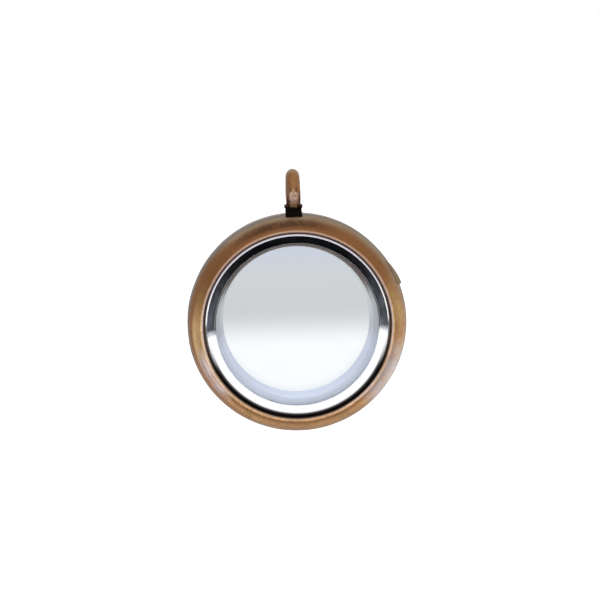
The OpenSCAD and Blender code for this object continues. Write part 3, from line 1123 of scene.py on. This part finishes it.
def side_knuckle(side):
    """One outer knuckle of the hinge and the web that holds it in the groove."""
    z = side * (HINGE_L - SIDE_KNUCKLE_L) / 2
    web = block(
        (HINGE_X, HINGE_Y - WEB_T / 2, CASE.z + z - SIDE_KNUCKLE_L / 2),
        (HINGE_X + GROOVE_R - 0.02, HINGE_Y + WEB_T / 2, CASE.z + z + SIDE_KNUCKLE_L / 2),
    )
    pin_hole = hinge_rod(HINGE_PIN_R, SIDE_KNUCKLE_L + PAST, z)
    knuckle = combined(
        hinge_rod(KNUCKLE_R, SIDE_KNUCKLE_L, z, KNUCKLE_END_SOFT),
        ("UNION", web), ("DIFFERENCE", pin_hole),
    )
    return softened(knuckle, KNUCKLE_SOFT)


# ---- lug, pin and bail ----


def cross_rod(radius, length, x=0.0, round_by=0.0):
    return rod(radius, length, (x, 0, PIN_DROP), (1, 0, 0), 48, round_by)


def ear_corner(side):
    """What is cut from the top outer corner of one ear, in front view."""
    near, far = LUG_HALF - EAR_CUT, LUG_HALF + EAR_CUT
    above = lug_high.z + 0.1
    corner = [(far, PIN_DROP), (LUG_HALF - 0.02, PIN_DROP), (near, above), (far, above)]
    upright = Matrix(((1, 0, 0, 0), (0, 0, 1, 0), (0, 1, 0, 0), (0, 0, 0, 1)))
    return prism([(side * x, z) for x, z in corner], -CASE_R, CASE_R, upright)


def make_lug(dark, wire):
    body = "rear_case"
    foot = block((-LUG_HALF, lug_low.y, lug_low.z), (LUG_HALF, lug_high.y, FOOT_TOP))
    ears = block((-LUG_HALF, -EAR_R, lug_low.z + 0.05), (LUG_HALF, EAR_R, PIN_DROP))
    slot = block((-SLOT_HALF, -CASE_R, FOOT_TOP), (SLOT_HALF, CASE_R, lug_high.z + PAST))
    lug = combined(
        foot, ("UNION", ears), ("UNION", cross_rod(EAR_R, 2 * LUG_HALF)), ("DIFFERENCE", slot),
        ("DIFFERENCE", cross_rod(BAIL_PIN_R, 2 * LUG_HALF + PAST)),
    )
    lug = combined(lug, *cuts([ear_corner(-1), ear_corner(1)]))
    lug = worn(softened(lug, LUG_SOFT), *LUG_WEAR)
    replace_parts(new_piece("lug", lug, body, dark), "bail_lug")

    head = bail_pin_high.x - LUG_HALF
    pin = combined(
        cross_rod(BAIL_PIN_R - 0.004, 2 * LUG_HALF + head),
        ("UNION", cross_rod(PIN_HEAD_R, head, -LUG_HALF - head / 2, PIN_SOFT)),
        ("UNION", cross_rod(PIN_HEAD_R, head, LUG_HALF + head / 2, PIN_SOFT)),
    )
    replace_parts(new_piece("bail_wire", pin, body, wire), "bail_pin")


def band_section(squareness, steps=28):
    """Section of the bail's band as (distance from the bore's axis, x): flat inside, domed outside.

    A squareness of BAND_DOMED gives a round dome, and one of BAND_FULL gives full shoulders.
    """
    centre = BAND_OUT_R - BAND_HALF
    foot = (BORE_R + 0.06 - centre) / BAND_HALF
    reach = math.acos(foot ** (squareness / 2))
    dome = []
    for i in range(steps + 1):
        t = reach * (2 * i / steps - 1)
        x = BAND_HALF * math.copysign(abs(math.sin(t)) ** (2 / squareness), t)
        dome.append((centre + BAND_HALF * math.cos(t) ** (2 / squareness), x))
    inner = [(BORE_R, dome[-1][1] - 0.08), (BORE_R, 0.3), (BORE_R, -0.3), (BORE_R, 0.08 - dome[-1][1])]
    return dome + inner


def tongue_outline(steps=16):
    """The tongue in side view, from the band down to its round end."""
    drop = -PIN_DROP
    flank = math.asin((BAND_OUT_R - EAR_R) / drop)
    c, s = math.cos(flank), math.sin(flank)
    end = arc((0, -drop), EAR_R, 360 - math.degrees(flank), 180 + math.degrees(flank), steps)
    return [(BAND_OUT_R * c, -BAND_OUT_R * s), *end, (-BAND_OUT_R * c, -BAND_OUT_R * s)]


def band_ring(a):
    """Points of the band's section at an angle round the bore."""
    fullness = smooth((-math.sin(a) - 0.2) / 0.6)
    section = band_section(BAND_DOMED + (BAND_FULL - BAND_DOMED) * fullness)
    return [(x, d * math.cos(a), d * math.sin(a)) for d, x in section]


def band_build():
    """The band: domed at the top and over the sides, with full shoulders at the bottom."""
    build = bmesh.new()
    skin(build, turned(build, 144, band_ring))
    return build


def make_bail(copper):
    turn = Matrix(((0, 0, 1, 0), (1, 0, 0, 0), (0, 1, 0, 0), (0, 0, 0, 1)))
    tongue = prism(tongue_outline(), -TONGUE_HALF, TONGUE_HALF, turn)
    through = 4 * BAND_HALF
    tongue = combined(tongue, ("DIFFERENCE", rod(BORE_R, through, (0, 0, 0), (1, 0, 0), 144)))
    bail = combined(
        band_build(), ("DIFFERENCE", cross_rod(EAR_CLEAR_R, through)), ("UNION", tongue),
        ("DIFFERENCE", cross_rod(BAIL_PIN_R + RUNNING_GAP, through)),
    )
    bail = softened(bail, BAIL_SOFT, 2, 50)
    for v in bail.verts:
        height = min(1.0, max(0.0, (v.co.z - TAPER_FROM) / (BAND_OUT_R - TAPER_FROM)))
        v.co.x *= 1 - BAIL_TAPER * height
    bail = worn(bail, *BAIL_WEAR)
    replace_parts(new_piece("bail_loop", bail, "bail", copper), "bail")


# ---- camera, light and floor ----

CAMERA_DISTANCE = 160.0
CAMERA_UP_DEG = 9.5
CAMERA_LEFT_DEG = 1.6
CAMERA_ROLL_DEG = 1.7
SENSOR = 36.0
FRAME_WIDTH = 82.5  # what the picture spans at the case, side to side
AIM_RIGHT = 0.525
AIM_UP = 2.99
FLOOR_R = 6000.0
FLOOR_DROP = 60.0

WHITE = (1.0, 1.0, 1.0)
SKY_BLUE = (0.89, 0.95, 1.09)
COLD_GREY = (0.93, 1.0, 1.12)
ROOM_LEVEL = 1.1
CARD_LEVEL = 3.0
SIDE_LEVEL = 0.6
CARD_EDGE = (-0.158, -0.187)
GLOW_EDGE = (-0.187, -0.152)


def make_camera():
    up, left = math.radians(CAMERA_UP_DEG), math.radians(CAMERA_LEFT_DEG)
    away = Vector((-math.sin(left) * math.cos(up), -math.cos(left) * math.cos(up), math.sin(up)))
    data = bpy.data.cameras.new("camera")
    data.sensor_width = SENSOR
    data.lens = SENSOR * CAMERA_DISTANCE / FRAME_WIDTH
    data.clip_start, data.clip_end = MM, 20.0
    camera = bpy.data.objects.new("camera", data)
    bpy.context.scene.collection.objects.link(camera)
    place = CASE + away * CAMERA_DISTANCE
    sideways = Vector((0, 0, 1)).cross(away).normalized()
    upwards = away.cross(sideways)
    aim = CASE + sideways * AIM_RIGHT + upwards * AIM_UP
    look = (aim - place).to_track_quat("-Z", "Y")
    roll = Matrix.Rotation(math.radians(-CAMERA_ROLL_DEG), 4, "Z").to_quaternion()
    camera.rotation_mode = "QUATERNION"
    camera.rotation_quaternion = look @ roll
    camera.location = place * MM
    bpy.context.scene.camera = camera


def make_floor():
    build = bmesh.new()
    bmesh.ops.create_circle(build, cap_ends=True, segments=96, radius=FLOOR_R * MM)
    mesh = bpy.data.meshes.new("floor")
    build.to_mesh(mesh)
    build.free()
    floor = bpy.data.objects.new("floor", mesh)
    bpy.context.scene.collection.objects.link(floor)
    floor.location = (0, 0, (CASE.z - CASE_R - FLOOR_DROP) * MM)
    m = surface("pale_floor")
    spot = m.add("ShaderNodeTexCoord").outputs["Object"]
    m.set(
        Base_Color=m.mix(m.grain(spot, 3.0), (0.93, 0.93, 0.93), (0.95, 0.95, 0.95)),
        Roughness=0.9,
        Emission_Color=(1, 1, 1, 1),
        Emission_Strength=0.2,
    )
    mesh.materials.append(m.owner)
    floor.visible_glossy = False
    floor.visible_transmission = False


def height_at(degrees):
    """The world's z in a direction so many degrees above the horizon."""
    return math.sin(math.radians(degrees))


def make_world():
    """The studio, as each kind of ray sees it.

    The eye sees white. Light through the glass comes from a soft upright gradient. Metal sees a
    bright room with a dark part in front and below, in which hang a card and two side panels.
    """
    world = bpy.data.worlds.new("studio")
    bpy.context.scene.world = world
    m = Recipe(world, "Background")
    way = m.add("ShaderNodeTexCoord").outputs["Generated"]
    x, y, z = m.add("ShaderNodeSeparateXYZ", {0: way}).outputs
    aside = m.size(x)

    lit = m.either(m.between(z, height_at(-9.4), height_at(-5.4)), m.between(y, -0.30, -0.15))
    unlit = m.math("SUBTRACT", 1.0, lit)
    cloth = m.between(m.grain(way, 9.0, 4.0, 0.6), 0.35, 0.7, 0.6, 1.3)
    dark = m.times(cloth, m.between(z, -0.75, -0.12, 0.006, 0.12))
    card = m.times(
        m.between(aside, 0.42, 0.26),
        m.between(z, *CARD_EDGE),
        m.between(z, -0.62, -0.45),
        m.between(y, -0.3, -0.5),
    )
    sides = m.times(m.between(aside, 0.5, 0.7), m.between(z, -0.35, -0.5), m.between(y, -0.50, -0.38))
    room = m.total(
        m.times(lit, ROOM_LEVEL),
        m.times(unlit, dark),
        m.times(card, CARD_LEVEL),
        m.times(sides, SIDE_LEVEL),
    )

    ray = m.add("ShaderNodeLightPath").outputs
    through = m.times(m.between(z, *GLOW_EDGE, 1.20, 0.88), m.between(z, 0.1, 0.9, 1.0, 1.5))
    level = m.mix(ray["Is Transmission Ray"], room, through)
    level = m.mix(ray["Is Camera Ray"], level, WHITE)

    sky = m.times(ray["Is Transmission Ray"], m.between(z, -0.13, -0.10))
    bright = m.either(lit, m.times(m.either(card, sides), CARD_LEVEL))
    cold = m.times(m.math("SUBTRACT", 1.0, bright, clamp=True), ray["Is Glossy Ray"])
    m.set(
        Color=m.layered(WHITE, (sky, SKY_BLUE), (cold, COLD_GREY)),
        Strength=level,
    )


def make_lights():
    """Two soft round lamps, unseen in metal and through glass: name, place, width and power."""
    lamps = [
        ("key", (-120, -160, 220), 140, 0.5),
        ("fill", (200, -120, 60), 160, 0.2),
    ]
    for name, place, size, power in lamps:
        data = bpy.data.lights.new(name, "AREA")
        data.shape = "DISK"
        data.size = size * MM
        data.energy = power
        lamp = bpy.data.objects.new(name, data)
        bpy.context.scene.collection.objects.link(lamp)
        lamp.location = (CASE + Vector(place)) * MM
        lamp.rotation_euler = (-Vector(place)).to_track_quat("-Z", "Y").to_euler()
        lamp.visible_camera = False
        lamp.visible_glossy = False
        lamp.visible_transmission = False


# ---- the whole scene ----

copper = case_copper()
steel = polished_steel()
rubber = seal_rubber()
glass = window_glass()
nickel = magnet_nickel()
hinge = hinge_copper()
wire = pin_steel()

make_camera()
make_floor()
make_world()
make_lights()
make_front(copper, steel, rubber, glass, nickel, hinge)
make_rear(copper, steel, liner_steel(), rubber, glass, nickel, hinge, wire)
make_lug(dark_copper(), wire)
make_bail(bail_copper())

bpy.context.scene.view_settings.view_transform = "Standard"
